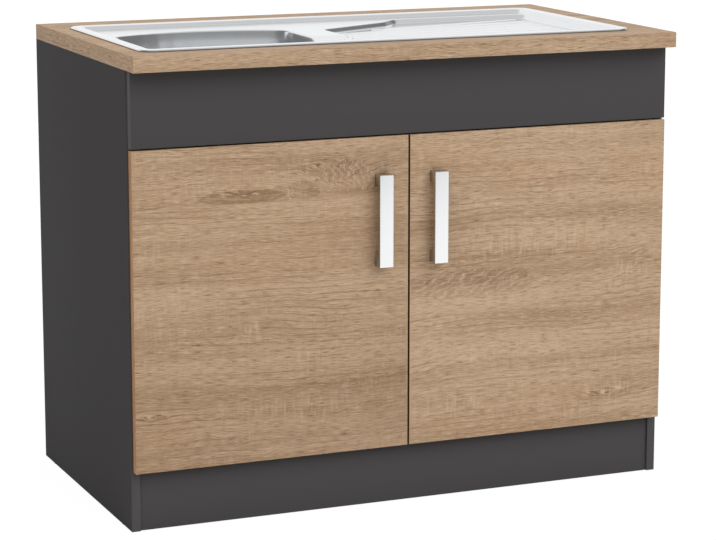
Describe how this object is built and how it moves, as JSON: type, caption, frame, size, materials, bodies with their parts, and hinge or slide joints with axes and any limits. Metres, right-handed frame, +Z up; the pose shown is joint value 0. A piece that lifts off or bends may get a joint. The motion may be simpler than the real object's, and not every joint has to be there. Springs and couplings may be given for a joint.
{
  "type": "kitchen sink unit",
  "caption": "Kitchen base unit with oak-look hinged doors and worktop, graphite sides and fixed front, and an inset steel sink with a bowl and a ribbed drainer.",
  "frame": {"origin": "on the floor under the middle of the worktop", "axes": "+X to the user's right along the unit, +Y to the wall, +Z up; the fronts face -Y"},
  "size_m": [1.05, 0.6, 0.854],
  "materials": {
    "graphite_board": "matt graphite melamine on chipboard",
    "oak_board": "oak-look laminate with a fine grain",
    "hardboard": "painted hardboard back",
    "dowel_wood": "beech dowels",
    "sink_steel": "satin stainless steel",
    "handle_metal": "satin silver",
    "hinge_metal": "nickel-plated steel",
    "zinc": "zinc-plated fasteners and brackets",
    "white_plastic": "white polypropylene waste fittings",
    "dark_plastic": "black plastic",
    "seal_rubber": "soft black rubber and foam",
    "buffer_rubber": "clear soft buffers"
  },
  "bodies": {
    "carcass": {"left_side_panel": "graphite_board", "right_side_panel": "graphite_board", "bottom_panel": "graphite_board", "front_rail": "graphite_board", "rear_rail": "graphite_board", "plinth_board": "graphite_board", "back_panel": "hardboard", "floor_glides": "dark_plastic", "worktop": "oak_board", "worktop_edging": "oak_board", "blind_front_panel": "graphite_board", "blind_front_screws": "zinc", "cam_locks": "zinc", "cam_bolts": "zinc", "wooden_dowels": "dowel_wood", "plinth_brackets": "zinc", "worktop_brackets": "zinc", "bracket_screws": "zinc", "sink_pressing": "sink_steel", "sink_seal": "seal_rubber", "sink_clips": "zinc", "sink_clip_screws": "zinc", "waste_flange": "sink_steel", "waste_gaskets": "seal_rubber", "waste_body": "white_plastic", "waste_screw": "zinc", "tail_pipe": "white_plastic", "slip_nuts": "white_plastic", "trap_bottle": "white_plastic", "trap_cup": "white_plastic", "outlet_nut": "white_plastic", "outlet_pipe": "white_plastic", "left_hinge_plates": "hinge_metal", "left_hinge_plate_screws": "zinc", "left_hinge_arms": "hinge_metal", "left_hinge_arm_pins": "hinge_metal", "right_hinge_plates": "hinge_metal", "right_hinge_plate_screws": "zinc", "right_hinge_arms": "hinge_metal", "right_hinge_arm_pins": "hinge_metal"},
    "left_hinge_link": {"left_hinge_links": "hinge_metal"},
    "left_door": {"left_door_panel": "oak_board", "left_door_edging": "oak_board", "left_handle": "handle_metal", "left_handle_screws": "zinc", "left_door_buffers": "buffer_rubber", "left_hinge_cups": "hinge_metal", "left_hinge_cup_pins": "hinge_metal", "left_hinge_cup_screws": "zinc"},
    "right_hinge_link": {"right_hinge_links": "hinge_metal"},
    "right_door": {"right_door_panel": "oak_board", "right_door_edging": "oak_board", "right_handle": "handle_metal", "right_handle_screws": "zinc", "right_door_buffers": "buffer_rubber", "right_hinge_cups": "hinge_metal", "right_hinge_cup_pins": "hinge_metal", "right_hinge_cup_screws": "zinc"},
    "strainer": {"strainer_basket": "sink_steel", "strainer_knob": "dark_plastic"}
  },
  "joints": [
    {"name": "left_hinge_swing", "type": "hinge", "parent": "carcass", "child": "left_hinge_link", "pos_m": [-0.489, -0.244, 0.4], "axis": [0, 0, 1], "range_deg": [0, 21]},
    {"name": "left_door_turn", "type": "hinge", "parent": "left_hinge_link", "child": "left_door", "pos_m": [-0.512, -0.2585, 0.4], "axis": [0, 0, -1], "range_deg": [0, 120]},
    {"name": "right_hinge_swing", "type": "hinge", "parent": "carcass", "child": "right_hinge_link", "pos_m": [0.489, -0.244, 0.4], "axis": [0, 0, -1], "range_deg": [0, 21]},
    {"name": "right_door_turn", "type": "hinge", "parent": "right_hinge_link", "child": "right_door", "pos_m": [0.512, -0.2585, 0.4], "axis": [0, 0, 1], "range_deg": [0, 120]},
    {"name": "strainer_lift", "type": "slide", "parent": "carcass", "child": "strainer", "axis": [0, 0, 1], "range_m": [0, 0.06]}
  ],
  "couplings": [
    {"joint": "left_hinge_swing", "follows": "left_door_turn", "ratio": 0.175},
    {"joint": "right_hinge_swing", "follows": "right_door_turn", "ratio": 0.175}
  ]
}
